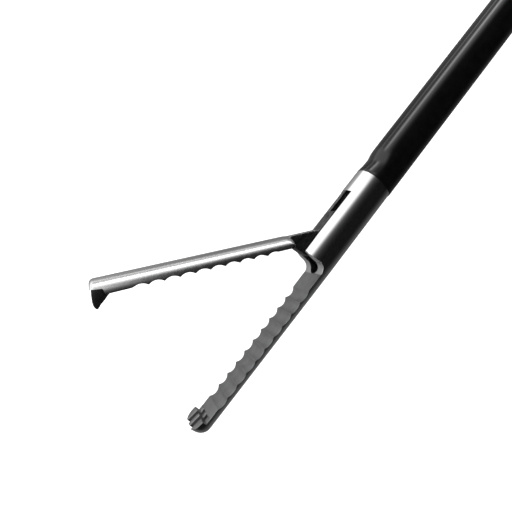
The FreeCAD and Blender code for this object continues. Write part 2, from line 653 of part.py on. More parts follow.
def make_half_shell(name, screw_side):
    """One half of the handle, z above 0; screw_side has the counterbores."""
    head = prism(name + "_head", [
        ("head_x", "-head_top"),
        ("head_x", "head_top - head_nose_step"),
        ("head_x + head_nose_step", "head_top"),
        ("head_x + head_length - head_tail_step", "head_top"),
        ("head_x + head_length", "head_top - head_tail_step"),
        ("head_x + head_length", "-head_top"),
        ("head_x + head_length - head_heel", "-head_bottom"),
        ("head_x + head_tail_step", "-head_bottom - head_keel"),
    ], "0", "head_half")

    def outer_edge(edge, middle):
        return middle.z > value("head_half") - 0.01

    head = rounded(name + "_head_round", head, "head_round", outer_edge)
    grip_block = block(name + "_grip_bar", ("lever_x - grip_width / 2", "lever_x + grip_width / 2"),
                       ("lever_y - finger_reach + finger_hole_radius + 1.5", "lever_y - 8"), ("0", "grip_half"))

    def grip_edge(edge, middle):
        upright = abs(middle.x - value("lever_x")) > value("grip_width / 2") - 0.01
        return upright and middle.z > value("grip_half") - 0.01

    grip_bar = rounded(name + "_grip_round", grip_block, "grip_half * 0.5", grip_edge)
    ring = rod_z(name + "_ring", "0", "finger_ring_half", "finger_ring_radius", "lever_x", "lever_y - finger_reach")

    def ring_edge(edge, middle):
        return middle.z > value("finger_ring_half") - 0.01

    ring = bevelled(name + "_ring_bevel", ring, "ring_bevel", ring_edge)
    grip = fuse(name + "_grip", grip_bar, ring)
    hole = rod_z(name + "_ring_hole", "-1", "finger_ring_half + 5", "finger_hole_radius", "lever_x",
                 "lever_y - finger_reach")
    pawl_room = block(name + "_pawl_room",
                      ("lever_x - grip_width", "lever_x + pawl_tip_side + 1.2"),
                      ("lever_y - pawl_pivot_drop - pawl_boss_radius - 1.4", "lever_y - ratchet_inner"),
                      ("-1", "pawl_half + 0.35"))
    pawl_hole = rod_z(name + "_pawl_hole", "-1", "grip_half - 1.2", "pawl_pin_radius + nest_gap / 2",
                      "lever_x - pawl_pivot_side", "lever_y - pawl_pivot_drop")
    grip = turned_about(cut(name + "_grip_cut", grip, hole, pawl_room, pawl_hole), "lever_x", "lever_y", "-grip_lean")
    shell = fuse(name + "_solid", head, grip)
    channel = cut(name + "_channel",
                  rod_z(name + "_channel_outer", "-1", "ratchet_half + ratchet_gap",
                        "ratchet_outer + ratchet_gap", "lever_x", "lever_y"),
                  rod_z(name + "_channel_inner", "-2", "ratchet_half + ratchet_gap + 1",
                        "ratchet_inner - ratchet_gap", "lever_x", "lever_y"))
    hollow = rod_z(name + "_hollow", "-1", "hollow_half", "hollow_radius", "lever_x", "lever_y")
    bearing_seat = rod_x(name + "_bearing_seat", "head_x - 1", "head_x + bearing_length + 1",
                         "bearing_radius + nest_gap")
    pivot_hole = rod_z(name + "_pivot_hole", "-1", "lever_screw_deep + 0.2", "lever_screw_radius + nest_gap",
                       "lever_x", "lever_y")
    post_hole = rod_y(name + "_post_hole", "post_foot - 0.1", "head_top + 1", "post_stem_radius + nest_gap",
                      "head_x + post_offset")
    post_seat = rod_y(name + "_post_seat", "post_collar_foot", "head_top + 1", "post_collar_radius + nest_gap",
                      "head_x + post_offset")
    ring_room = rod_x(name + "_ring_room", "ring_x - ring_gap", "lever_x", "ring_radius + ring_gap")
    tools = [channel, hollow, ring_room, bearing_seat, pivot_hole, post_hole, post_seat]
    if screw_side:
        tools.append(rod_z(name + "_pivot_head", "head_half - screw_head_height", "head_half + 1",
                           "screw_head_radius + nest_gap", "lever_x", "lever_y"))
    tools += arm_sweep(name + "_arm_room", "lever_arm_width + 1.4", "-1", "hollow_half", "34")
    for number, (x, y) in enumerate(SCREW_PLACES):
        tools.append(rod_z(f"{name}_screw_hole_{number}", "-1", "screw_deep + 0.3", "screw_radius + nest_gap", x, y))
        if screw_side:
            tools.append(rod_z(f"{name}_screw_way_{number}", "0", "head_half", "screw_radius + nest_gap", x, y))
            tools.append(rod_z(f"{name}_screw_cap_{number}", "screw_deep", "20", "screw_cap_radius + nest_gap", x, y))
    return cut(name + "_cut", shell, *tools)


# Screws of the shells: below the front of the head, and in the grip
SCREW_PLACES = [
    ("head_x + 5", "-13.5"),
    ("lever_x - 0.1736 * 33", "lever_y - 0.9848 * 33"),
]


def make_handle():
    sub_part(make_half_shell("left", True), "handle_shell_left")
    right = doc.addObject("Part::Mirroring", "right_mirror")
    right.Source = make_half_shell("right", False)
    right.Normal = FreeCAD.Vector(0, 0, 1)
    sub_part(right, "handle_shell_right")
    screws = []
    for number, (x, y) in enumerate(SCREW_PLACES):
        screws.append(cut(f"shell_screw_{number}", fuse(f"shell_screw_solid_{number}",
                      rod_z(f"screw_stem_{number}", "-screw_deep", "screw_deep + 0.1", "screw_radius", x, y),
                      rod_z(f"screw_cap_{number}", "screw_deep + nest_gap", "screw_deep + screw_cap_height",
                            "screw_cap_radius", x, y)),
                      block(f"screw_drive_{number}", (f"({x}) - 3", f"({x}) + 3"),
                            (f"({y}) - screw_drive_half", f"({y}) + screw_drive_half"),
                            ("screw_deep + screw_cap_height - screw_drive_deep", "20"))))
    sub_part(group("screws", *screws), "shell_screws")
    stem = rod_z("lever_screw_stem", "-lever_screw_deep", "head_half - 0.5", "lever_screw_radius",
                 "lever_x", "lever_y")
    cap = rod_z("lever_screw_cap", "head_half - screw_head_height + nest_gap", "head_half - 0.1",
                "screw_head_radius", "lever_x", "lever_y")
    drive = block("lever_screw_drive", ("lever_x - 5", "lever_x + 5"),
                  ("lever_y - pivot_drive_half", "lever_y + pivot_drive_half"),
                  ("head_half - screw_drive_deep - 0.1", "head_half + 1"))
    sub_part(cut("lever_screw", fuse("lever_screw_solid", stem, cap), drive), "lever_pivot_screw")
    post_x = "head_x + post_offset"
    sub_part(fuse("post",
                  rod_y("post_stem", "post_foot", "post_collar_height + 1", "post_stem_radius", post_x),
                  rod_y("post_end", "post_collar_height", "post_height", "post_radius", post_x)), "hf_post")
    collar = rod_y("post_collar", "post_collar_foot + nest_gap", "post_collar_height", "post_collar_radius", post_x)
    bore = rod_y("post_collar_bore", "0", "30", "post_stem_radius + nest_gap", post_x)
    sub_part(cut("post_collar_cut", collar, bore), "hf_insulator")


def make_lever():
    arm = block("lever_arm", ("lever_x - lever_arm_width / 2", "lever_x + lever_arm_width / 2"),
                ("lever_y - thumb_reach + thumb_hole_radius + 1.5", "lever_y"), ("-lever_half", "lever_half"))

    def arm_edge(edge, middle):
        at_side = abs(middle.x - value("lever_x")) > value("lever_arm_width / 2") - 0.01
        return at_side and abs(middle.z) > value("lever_half") - 0.1

    arm = rounded("lever_arm_round", arm, "lever_half * 0.5", arm_edge)
    ring = rod_z("thumb_ring", "-thumb_ring_half", "thumb_ring_half", "thumb_ring_radius", "lever_x",
                 "lever_y - thumb_reach")
    ring_limit = value("thumb_ring_half") - 0.1
    ring = bevelled("thumb_ring_bevel", ring, "ring_bevel", lambda edge, middle: abs(middle.z) > ring_limit)
    hole = rod_z("thumb_hole", "-far_past", "far_past", "thumb_hole_radius", "lever_x", "lever_y - thumb_reach")
    lower = turned_about(cut("lever_lower", fuse("lever_lower_solid", arm, ring), hole), "lever_x", "lever_y",
                         "lever_lean")
    boss = rod_z("lever_boss", "-lever_half", "lever_half", "lever_boss_radius", "lever_x", "lever_y")
    head = block("lever_head", ("lever_x - lever_head_half_width", "lever_x + lever_head_half_width"),
                 ("lever_y", "lever_head_top"), ("-lever_half", "lever_half"))
    solid = fuse("lever_solid", lower, boss, head)
    pocket = rod_y("ball_pocket", "-ball_radius - 0.5", "9", "ball_radius + ball_pocket_gap", "lever_x")
    neck = block("neck_slot", ("lever_x - 9", "lever_x"), ("-rod_radius - 0.6", "9"),
                 ("-rod_radius - neck_gap", "rod_radius + neck_gap"))
    pivot = rod_z("lever_pivot_hole", "-far_past", "far_past", "lever_screw_radius + running_gap", "lever_x",
                  "lever_y")
    slot = cut("bar_slot",
               rod_z("bar_slot_outer", "-ratchet_half - nest_gap", "ratchet_half + nest_gap",
                     "ratchet_outer + nest_gap", "lever_x", "lever_y"),
               rod_z("bar_slot_inner", "-far_past", "far_past", "ratchet_inner - nest_gap", "lever_x", "lever_y"))
    mid = "(ratchet_inner + ratchet_outer) / 2"
    rivet_x = f"lever_x + {mid} * sin(lever_lean)"
    rivet_y = f"lever_y - {mid} * cos(lever_lean)"
    rivet_hole = rod_z("lever_rivet_hole", "-far_past", "far_past", "rivet_radius + nest_gap", rivet_x, rivet_y)
    lever = cut("lever", solid, pocket, neck, pivot, slot, rivet_hole)
    sub_part(turned_about(lever, "lever_x", "lever_y", "lever_turn / 2"), "thumb_lever")

    sector = {"Radius": "ratchet_outer", "Height": "2 * ratchet_half", "Angle": "lever_lean + ratchet_lead"}
    outer = primitive("Cylinder", "bar_outer", sector, ("lever_x", "lever_y", "-ratchet_half"), (0, 0, 1), 1)
    outer.setExpression("Placement.Rotation.Angle", bound("360 - 90 - ratchet_lead"))
    inner = rod_z("bar_inner", "-far_past", "far_past", "ratchet_inner", "lever_x", "lever_y")
    notches = []
    for number in range(int(value("notch_count"))):
        angle = f"notch_first + {number} * notch_step"
        notch = primitive("Prism", f"notch_{number}", {"Circumradius": "notch_radius", "Height": "2 * far_past"},
                          (f"lever_x + notch_offset * sin({angle})", f"lever_y - notch_offset * cos({angle})",
                           "-far_past"), (0, 0, 1), 1)
        notch.Polygon = 4
        notch.setExpression("Placement.Rotation.Angle", bound(angle))
        notches.append(notch)
    hole = rod_z("bar_rivet_hole", "-far_past", "far_past", "rivet_radius + nest_gap", rivet_x, rivet_y)
    bar = cut("bar", outer, inner, *notches, hole)
    sub_part(turned_about(bar, "lever_x", "lever_y", "lever_turn / 2"), "ratchet_bar")
    rivet = rod_z("rivet", "-lever_half - rivet_proud", "lever_half + rivet_proud", "rivet_radius", rivet_x, rivet_y)
    sub_part(turned_about(group("rivet_solid", rivet), "lever_x", "lever_y", "lever_turn / 2"), "ratchet_rivet")


def make_pawl():
    pivot_x = "lever_x - pawl_pivot_side"
    pivot_y = "lever_y - pawl_pivot_drop"
    tip_x = "lever_x + pawl_tip_side"
    tip_y = "lever_y - pawl_tip_drop"
    boss = rod_z("pawl_boss", "-pawl_half", "pawl_half", "pawl_boss_radius", pivot_x, pivot_y)
    plate = prism("pawl_plate", [
        (pivot_x + " + 0.5", pivot_y + " - 2.0"),
        (tip_x + " + 0.5", tip_y + " - 1.6"),
        (tip_x, tip_y),
        (tip_x + " - 0.7", tip_y + " - 0.9"),
        (pivot_x, pivot_y + " + 2.0"),
        (pivot_x + " - 4", pivot_y + " + 1.6"),
        (pivot_x + " - 9.5", pivot_y + " + 3.6"),
        (pivot_x + " - 10.6", pivot_y + " + 2.2"),
        (pivot_x + " - 5", pivot_y + " - 1.4"),
    ], "-pawl_half", "pawl_half")
    hole = rod_z("pawl_hole", "-far_past", "far_past", "pawl_pin_radius + running_gap", pivot_x, pivot_y)
    pawl = cut("pawl", fuse("pawl_solid", boss, plate), hole)
    sub_part(turned_about(pawl, "lever_x", "lever_y", "-grip_lean"), "ratchet_pawl")
    pin = rod_z("pawl_pin_bar", "1.3 - grip_half", "grip_half - 1.3", "pawl_pin_radius", pivot_x, pivot_y)
    sub_part(turned_about(group("pawl_pin_solid", pin), "lever_x", "lever_y", "-grip_lean"), "pawl_pin")
    floor_y = pivot_y + " - pawl_boss_radius - 1.4"
    spring = prism("spring_leaf", [
        (tip_x + " + 1.15", floor_y + " + 0.02"),
        (tip_x + " + 1.15", floor_y + " + 0.02 + spring_thickness"),
        (pivot_x + " + 1", floor_y + " + 0.02 + spring_thickness"),
        (pivot_x + " - 4.2", pivot_y + " - 2.3"),
        (pivot_x + " - 4.2", pivot_y + " - 2.3 - spring_thickness"),
        (pivot_x + " + 1", floor_y + " + 0.02"),
    ], "1 - pawl_half", "pawl_half - 1")
    sub_part(turned_about(group("spring_solid", spring), "lever_x", "lever_y", "-grip_lean"), "pawl_spring")


make_jaw_housing()
make_moving_jaw()
make_jaw_pins()
make_drive_link()
make_rod()
make_shaft()
make_knob()
make_handle()
make_lever()
make_pawl()
doc.recompute()

for piece in doc.Objects:
    if "Invalid" in piece.State or "Error" in piece.State:
        raise RuntimeError(f"{piece.Name} did not compute: {piece.State}")

os.makedirs("parts", exist_ok=True)
for node in nodes:
    shape = node.Shape
    if shape.isNull() or not shape.isValid() or not shape.Solids:
        raise RuntimeError(f"{node.Label} has no valid solid")
    print(f"{node.Label:22s} solids {len(shape.Solids)} volume {shape.Volume:10.3f}")
    shape.exportStep(f"parts/{node.Label}.step")
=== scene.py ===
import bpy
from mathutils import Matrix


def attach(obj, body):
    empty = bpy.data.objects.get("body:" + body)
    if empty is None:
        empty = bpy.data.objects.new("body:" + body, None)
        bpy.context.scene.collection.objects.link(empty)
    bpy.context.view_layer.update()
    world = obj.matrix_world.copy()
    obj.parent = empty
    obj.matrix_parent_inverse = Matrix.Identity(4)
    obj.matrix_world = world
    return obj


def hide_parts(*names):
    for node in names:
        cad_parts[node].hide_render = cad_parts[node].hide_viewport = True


bl_info = {
    "name": "Retraction forceps",
    "version": (1, 0, 0),
    "blender": (4, 5, 0),
    "location": "View3D > Sidebar > Forceps",
    "description": "Dresses the retraction forceps with its steel, insulation and handle, and sets its stage",
    "category": "Object",
}

import math

import bmesh
import bpy
from bpy.props import FloatProperty, FloatVectorProperty, IntProperty, PointerProperty
from mathutils import Matrix, Vector

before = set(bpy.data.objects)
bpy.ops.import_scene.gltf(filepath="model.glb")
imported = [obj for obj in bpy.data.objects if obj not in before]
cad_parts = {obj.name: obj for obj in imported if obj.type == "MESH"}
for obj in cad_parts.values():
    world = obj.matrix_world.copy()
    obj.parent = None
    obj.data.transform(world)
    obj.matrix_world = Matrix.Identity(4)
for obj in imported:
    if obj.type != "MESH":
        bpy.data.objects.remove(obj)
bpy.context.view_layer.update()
MM = 0.001

# Lengths in mesh code are millimetres in the frame of the CAD: the shaft's axis is X with the jaw tips
# towards -X, the moving jaw opens towards +Y, and +Z is up. "Reach" is a distance towards the tips, and
# "level" is a height along Y.


class ForcepsJawSizes(bpy.types.PropertyGroup):
    sleeve_radius: FloatProperty(name="Sleeve radius", description="Outer radius of the steel sleeve, in mm",
                                 default=2.43, min=2.0, max=2.45)
    tip_radius: FloatProperty(name="Belly radius at the tip",
                              description="Radius of the fixed jaw's belly at its tip, in mm",
                              default=2.25, min=1.5, max=2.4)
    tooth_pitch: FloatProperty(name="Tooth pitch", description="Distance between two ridges of the bite, in mm",
                               default=1.63, min=1.0, max=2.5)
    tooth_depth: FloatProperty(name="Tooth depth", description="Depth of each groove of the bite, in mm",
                               default=0.30, min=0.1, max=0.5)
    tooth_count: IntProperty(name="Grooves", description="Number of grooves in the fixed jaw",
                             default=10, min=3, max=14)
    open_angle: FloatProperty(name="Open angle", description="How far the moving jaw stands open",
                              subtype="ANGLE", default=math.radians(37.4), min=0.0, max=1.0)
    edge_round: FloatProperty(name="Edge rounding", description="Rounding of the bite's long edges, in mm",
                              default=0.1, min=0.02, max=0.2)


class ForcepsShaftSizes(bpy.types.PropertyGroup):
    radius: FloatProperty(name="Shaft radius", description="Outer radius of the insulation, in mm",
                          default=2.5, min=2.0, max=3.0)
    end_waver: FloatProperty(name="Uneven end",
                             description="How far the trimmed end of the insulation wavers, in mm",
                             default=0.16, min=0.0, max=0.4)


class ForcepsFinishes(bpy.types.PropertyGroup):
    polished: FloatVectorProperty(name="Polished steel", description="Colour of the polished steel",
                                  subtype="COLOR", size=3, default=(0.80, 0.80, 0.80), min=0.0, max=1.0)
    satin: FloatVectorProperty(name="Satin steel", description="Colour of the ground and blasted steel",
                               subtype="COLOR", size=3, default=(0.37, 0.37, 0.375), min=0.0, max=1.0)
    # Painted shade: the slot colour is a near-black steel that stands in for the shade inside the slot.
    slot: FloatVectorProperty(name="Slot steel", description="Colour of the steel inside the slot",
                              subtype="COLOR", size=3, default=(0.11, 0.11, 0.112), min=0.0, max=1.0)
    insulation: FloatVectorProperty(name="Insulation", description="Colour of the shaft's insulation",
                                    subtype="COLOR", size=3, default=(0.0022, 0.0022, 0.0024), min=0.0, max=1.0)
    handle: FloatVectorProperty(name="Handle", description="Colour of the moulded handle", subtype="COLOR",
                                size=3, default=(0.016, 0.016, 0.0175), min=0.0, max=1.0)
    rubber: FloatVectorProperty(name="Rubber", description="Colour of the seal and the port's cap",
                                subtype="COLOR", size=3, default=(0.035, 0.035, 0.036), min=0.0, max=1.0)


class ForcepsStageSettings(bpy.types.PropertyGroup):
    lens: FloatProperty(name="Lens", description="Focal length of the camera, in mm", default=29.59,
                        min=10.0, max=200.0)
    floor_height: FloatProperty(name="Floor height", description="Height of the floor below the shaft's axis",
                                subtype="DISTANCE", unit="LENGTH", default=-0.0102, min=-0.1, max=0.0)
    ambient: FloatProperty(name="Soft light", description="Strength of the light from all round",
                           default=0.55, min=0.0, max=2.0)


# Sleeve and slot: where they end, and the slot's half width, bevel and floor

SLEEVE_REACH = 13.85
SLEEVE_EASE = 0.14
THROUGH_REACH = 8.3
SLOT_REACH = 4.55
SLOT_END = 14.9
SLOT_HALF = 0.95
SLOT_BEVEL = 0.25
SLOT_FLOOR = -1.95
SLEEVE_REAR = 0.97
SPIGOT_REACH = 0.95
SPIGOT_RADIUS = 2.08
SPIGOT_END = 4.0
ROD_BORE = 0.95
RING_STEPS = 128

# Fixed jaw: its face, the foot that rises to the sleeve, the bite, and the comb of prongs at the tip

JAW_REACH = 37.05
BELLY_NOSE = 1.2
FACE = -0.86
FOOT = 1.0
BITE_START = 17.28
BITE_MARGIN = 0.08
BITE_STEP = 0.045
RIDGE_NUDGES = (-0.06, -0.03, 0.0, 0.03, 0.06)
CORNER_STEPS = 4
COMB_REACH = 34.95
PRONG_REACH = 35.55
PRONG_LEVEL = -0.33
PRONG_SLOPE = 0.14
PRONG_EASE = 0.08
PRONG_STEPS = 14
PRONG_INNER = 0.33
PRONG_OUTER = 1.11

# Moving jaw in its closed place: its back, its rounded heel, the scallops' extra depth and the nose's pocket

PIVOT = (-8.14, 1.06)
BACK_ROOT = 14.25
BACK_END = 36.78
BACK_FACE = -0.83
BACK_RADIUS = 2.33
BACK_TAPER = 0.18
BACK_TOP = 0.57
BACK_RISE = 0.28
HEEL = 1.1
HEEL_NARROWING = 0.8
HEEL_DROP = 0.35
INTERLOCK = 0.16
INTERLOCK_LEAD = 0.3
POCKET_REACH = 35.5
POCKET_LEAD = 0.2
POCKET_TOP = -0.27
NOSE_SIDE_ROUND = 0.45
NOSE_TOP_ROUND = 0.5
BEAK_MIDDLE = 0.72
BEAK_HALF = 0.28
TANG_HALF = 0.85
EYE_RADIUS = 1.1

# Insulation: the tube, its cut end, and the narrow waist behind that end

TUBE_END = 292.9
TUBE_BORE = 2.12
TUBE_STEPS = 96
CUT_EDGE = 0.05
CUT_WALL = 0.12
WAIST_DEPTH = 0.24
WAIST_PLACE = 1.3
WAIST_LENGTH = 0.8


# Finishes

NOISE_LOW = 0.3
NOISE_HIGH = 0.7


def new_finish(name, colour, metallic, roughness):
    """A material, its nodes, its shader and the object's own coordinates."""
    material = bpy.data.materials.new(name)
    material.use_nodes = True
    tree = material.node_tree
    shader = tree.nodes["Principled BSDF"]
    shader.inputs["Base Color"].default_value = (*colour, 1.0)
    shader.inputs["Metallic"].default_value = metallic
    shader.inputs["Roughness"].default_value = roughness
    place = tree.nodes.new("ShaderNodeTexCoord")
    return material, tree, shader, place.outputs["Object"]


def noise(tree, place, scale, detail=4.0, stretch=(1.0, 1.0, 1.0)):
    """Noise whose grain is about 1 / scale millimetres, longer where stretch is small."""
    mapping = tree.nodes.new("ShaderNodeMapping")
    mapping.inputs["Scale"].default_value = [scale / MM * part for part in stretch]
    tree.links.new(place, mapping.inputs["Vector"])
    texture = tree.nodes.new("ShaderNodeTexNoise")
    texture.inputs["Scale"].default_value = 1.0
    texture.inputs["Detail"].default_value = detail
    tree.links.new(mapping.outputs["Vector"], texture.inputs["Vector"])
    return texture.outputs["Fac"]


def spread(tree, source, low, high):
    """Turns a noise into a number between low and high."""
    span = tree.nodes.new("ShaderNodeMapRange")
    span.inputs["From Min"].default_value = NOISE_LOW
    span.inputs["From Max"].default_value = NOISE_HIGH
    span.inputs["To Min"].default_value = low
    span.inputs["To Max"].default_value = high
    tree.links.new(source, span.inputs["Value"])
    return span.outputs["Result"]


def shade_colour(tree, shader, source, dark, light):
    """Lets a noise drive the base colour between two tones."""
    ramp = tree.nodes.new("ShaderNodeValToRGB")
    ramp.color_ramp.elements[0].position = NOISE_LOW
    ramp.color_ramp.elements[0].color = (*dark, 1.0)
    ramp.color_ramp.elements[1].position = NOISE_HIGH
    ramp.color_ramp.elements[1].color = (*light, 1.0)
    tree.links.new(source, ramp.inputs["Fac"])
    tree.links.new(ramp.outputs["Color"], shader.inputs["Base Color"])


def bump(tree, shader, source, distance, strength):
    """Relief of a noise; distance is in millimetres."""
    relief = tree.nodes.new("ShaderNodeBump")
    relief.inputs["Distance"].default_value = distance * MM
    relief.inputs["Strength"].default_value = strength
    tree.links.new(source, relief.inputs["Height"])
    tree.links.new(relief.outputs["Normal"], shader.inputs["Normal"])


def tones(colour, low, high):
    """A darker and a lighter tone of a colour."""
    return [part * low for part in colour], [min(1.0, part * high) for part in colour]


def polished_steel(name="polished_steel", low=0.06, high=0.11, tint=1.0):
    colour = [part * tint for part in bpy.context.scene.forceps_finishes.polished]
    material, tree, shader, place = new_finish(name, colour, 1.0, low)
    lapping = noise(tree, place, 6.0, 5.0, (0.08, 1.0, 1.0))
    tree.links.new(spread(tree, lapping, low, high), shader.inputs["Roughness"])
    shade_colour(tree, shader, noise(tree, place, 0.35), *tones(colour, 0.95, 1.05))
    bump(tree, shader, lapping, 0.0012, 0.35)
    return material


def back_steel():
    """The moving jaw's polished back with painted shade: its colour darkens towards its scalloped rim."""
    rim_level = -0.75
    clear_level = -0.10
    painted_shade_tone = 0.55
    material = polished_steel("back_steel", low=0.16, high=0.23, tint=0.86)
    tree = material.node_tree
    shader = tree.nodes["Principled BSDF"]
    angle = bpy.context.scene.forceps_jaws.open_angle
    place = tree.nodes.new("ShaderNodeTexCoord")
    height = tree.nodes.new("ShaderNodeVectorMath")
    height.operation = "DOT_PRODUCT"
    height.inputs[1].default_value = (math.sin(angle), math.cos(angle), 0.0)
    tree.links.new(place.outputs["Object"], height.inputs[0])
    zero = MM * (PIVOT[1] - math.sin(angle) * PIVOT[0] - math.cos(angle) * PIVOT[1])
    # Painted shade: the base colour darkens from the clear level down to the rim level, where it is a little
    # over half as bright.
    painted_shade = tree.nodes.new("ShaderNodeMapRange")
    painted_shade.inputs["From Min"].default_value = rim_level * MM - zero
    painted_shade.inputs["From Max"].default_value = clear_level * MM - zero
    painted_shade.inputs["To Min"].default_value = painted_shade_tone
    painted_shade.inputs["To Max"].default_value = 1.0
    tree.links.new(height.outputs["Value"], painted_shade.inputs["Value"])
    mixed = tree.nodes.new("ShaderNodeMix")
    mixed.data_type = "RGBA"
    source = shader.inputs["Base Color"].links[0].from_socket
    mixed.inputs[6].default_value = (0.0, 0.0, 0.0, 1.0)
    tree.links.new(painted_shade.outputs["Result"], mixed.inputs[0])
    tree.links.new(source, mixed.inputs[7])
    tree.links.new(mixed.outputs[2], shader.inputs["Base Color"])
    return material


def satin_steel(name="satin_steel", low=0.30, high=0.42, grain=(1.0, 0.15, 1.0)):
    colour = bpy.context.scene.forceps_finishes.satin
    material, tree, shader, place = new_finish(name, colour, 1.0, low)
    grinding = noise(tree, place, 9.0, 6.0, grain)
    tree.links.new(spread(tree, grinding, low, high), shader.inputs["Roughness"])
    shade_colour(tree, shader, noise(tree, place, 1.1), *tones(colour, 0.9, 1.08))
    bump(tree, shader, grinding, 0.004, 0.5)
    return material


# Painted shade: the steel inside the slot, with its pins and link, is near black, mottled at random, in place
# of the shade that falls there.
def shaded_slot_steel():
    colour = bpy.context.scene.forceps_finishes.slot
    material, tree, shader, place = new_finish("shaded_slot_steel", colour, 1.0, 0.45)
    mottle = noise(tree, place, 5.0, 5.0, (0.3, 1.0, 1.0))
    tree.links.new(spread(tree, mottle, 0.4, 0.6), shader.inputs["Roughness"])
    shade_colour(tree, shader, mottle, *tones(colour, 0.6, 1.5))
    bump(tree, shader, mottle, 0.006, 0.5)
    return material


def gloss_insulation():
    colour = bpy.context.scene.forceps_finishes.insulation
    material, tree, shader, place = new_finish("gloss_insulation", colour, 0.0, 0.12)
    waver = noise(tree, place, 0.5, 3.0, (0.1, 1.0, 1.0))
    tree.links.new(spread(tree, waver, 0.08, 0.15), shader.inputs["Roughness"])
    shade_colour(tree, shader, noise(tree, place, 0.8), *tones(colour, 0.7, 1.4))
    bump(tree, shader, waver, 0.02, 0.25)
    return material


def moulded_plastic():
    colour = bpy.context.scene.forceps_finishes.handle
    material, tree, shader, place = new_finish("moulded_plastic", colour, 0.0, 0.42)
    spark = noise(tree, place, 4.0, 3.0)
    tree.links.new(spread(tree, noise(tree, place, 0.6), 0.36, 0.5), shader.inputs["Roughness"])
    shade_colour(tree, shader, noise(tree, place, 0.15), *tones(colour, 0.85, 1.25))
    bump(tree, shader, spark, 0.02, 0.45)
    return material


def seal_rubber():
    colour = bpy.context.scene.forceps_finishes.rubber
    material, tree, shader, place = new_finish("seal_rubber", colour, 0.0, 0.6)
    dust = noise(tree, place, 3.0, 5.0)
    tree.links.new(spread(tree, dust, 0.5, 0.72), shader.inputs["Roughness"])
    shade_colour(tree, shader, noise(tree, place, 0.4), *tones(colour, 0.8, 1.3))
    bump(tree, shader, dust, 0.015, 0.4)
    return material


def bite_steel():
    """The blasted steel of the bite, with its grain across the jaw."""
    return satin_steel("bite_steel", low=0.36, high=0.46, grain=(1.0, 1.0, 0.12))


def finish(name):
    """The finish of that name, made on its first use."""
    made = bpy.data.materials.get(name)
    return made or FINISHES[name]()


FINISHES = {
    "polished_steel": polished_steel,
    "back_steel": back_steel,
    "satin_steel": satin_steel,
    "bite_steel": bite_steel,
    "shaded_slot_steel": shaded_slot_steel,
    "gloss_insulation": gloss_insulation,
    "moulded_plastic": moulded_plastic,
    "seal_rubber": seal_rubber,
}


def dress(finish_name, *nodes):
    """Gives CAD nodes a finish."""
    for name in nodes:
        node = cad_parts[name]
        node.data.materials.clear()
        node.data.materials.append(finish(finish_name))


# Mesh code

class Shell:
    """Points and faces of one piece. A face's kind is its place in the piece's list of finishes."""

    def __init__(self):
        self.points = []
        self.faces = []
        self.kinds = []

    def add(self, points, faces, kinds):
        start = len(self.points)
        self.points += [tuple(point) for point in points]
        self.faces += [[start + index for index in face] for face in faces]
        self.kinds += kinds

    def loft(self, stations, bite=(), bite_kind=1, hollow=False):
        """Skin over closed outlines; each station is (x, [(y, z), ...]). Faces whose outline step is in
        the bite get a finish of their own. A hollow one runs back to its first station inside."""
        count = len(stations[0][1])
        rows = len(stations)
        skin = []
        bitten = []
        for row in range(rows if hollow else rows - 1):
            near = row * count
            far = (row + 1) % rows * count
            for step in range(count):
                after = (step + 1) % count
                quad = [near + step, near + after, far + after, far + step]
                (bitten if step in bite else skin).append(quad)
        if not hollow:
            last = (rows - 1) * count
            skin.append(list(range(count)))
            skin.append(list(range(last, last + count)))
        self.add([(x, y, z) for x, outline in stations for y, z in outline], skin + bitten,
                 [0] * len(skin) + [bite_kind] * len(bitten))

    def plate(self, outline, low, high, bevel, kind=0):
        """A plate of the XY outline between two heights, with its edges bevelled."""
        form = bmesh.new()
        floor = [form.verts.new((x, y, low)) for x, y in outline]
        roof = [form.verts.new((x, y, high)) for x, y in outline]
        form.faces.new(floor)
        form.faces.new(roof)
        for index in range(len(outline)):
            after = (index + 1) % len(outline)
            form.faces.new((floor[index], floor[after], roof[after], roof[index]))
        bmesh.ops.recalc_face_normals(form, faces=form.faces)
        bmesh.ops.bevel(form, geom=form.edges, offset=bevel, segments=3, profile=0.5, affect="EDGES",
                        clamp_overlap=True)
        form.verts.index_update()
        faces = [[vert.index for vert in face.verts] for face in form.faces]
        self.add([vert.co for vert in form.verts], faces, [kind] * len(faces))
        form.free()

    def move(self, matrix):
        self.points = [tuple(matrix @ Vector(point)) for point in self.points]

    def piece(self, name, finishes, body, nodes, crease=40.0):
        """The finished object, riding on its body and standing for its CAD nodes."""
        mesh = bpy.data.meshes.new(name)
        mesh.from_pydata([[part * MM for part in point] for point in self.points], [], self.faces)
        for finish_name in finishes:
            mesh.materials.append(finish(finish_name))
        mesh.polygons.foreach_set("material_index", self.kinds)
        form = bmesh.new()
        form.from_mesh(mesh)
        bmesh.ops.dissolve_degenerate(form, dist=1e-7, edges=form.edges)
        bmesh.ops.recalc_face_normals(form, faces=form.faces)
        form.to_mesh(mesh)
        form.free()
        mesh.shade_smooth()
        mesh.set_sharp_from_angle(angle=math.radians(crease))
        made = bpy.data.objects.new(name, mesh)
        bpy.context.scene.collection.objects.link(made)
        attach(made, body)
        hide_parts(*nodes)


def spaced(low, high, step):
    """Even stations from low to high, both included."""
    count = max(1, round(abs(high - low) / step))
    return [low + (high - low) * index / count for index in range(count + 1)]


def arc(radius, centre, first, last, steps):
    """Points (y, z) of an arc about (centre, 0); angles in degrees from +Y towards +Z."""
    angles = [math.radians(first + (last - first) * index / steps) for index in range(steps + 1)]
    return [(centre + radius * math.cos(angle), radius * math.sin(angle)) for angle in angles]


def circle(radius):
    return arc(radius, 0.0, 0, 360 - 360 / RING_STEPS, RING_STEPS - 1)


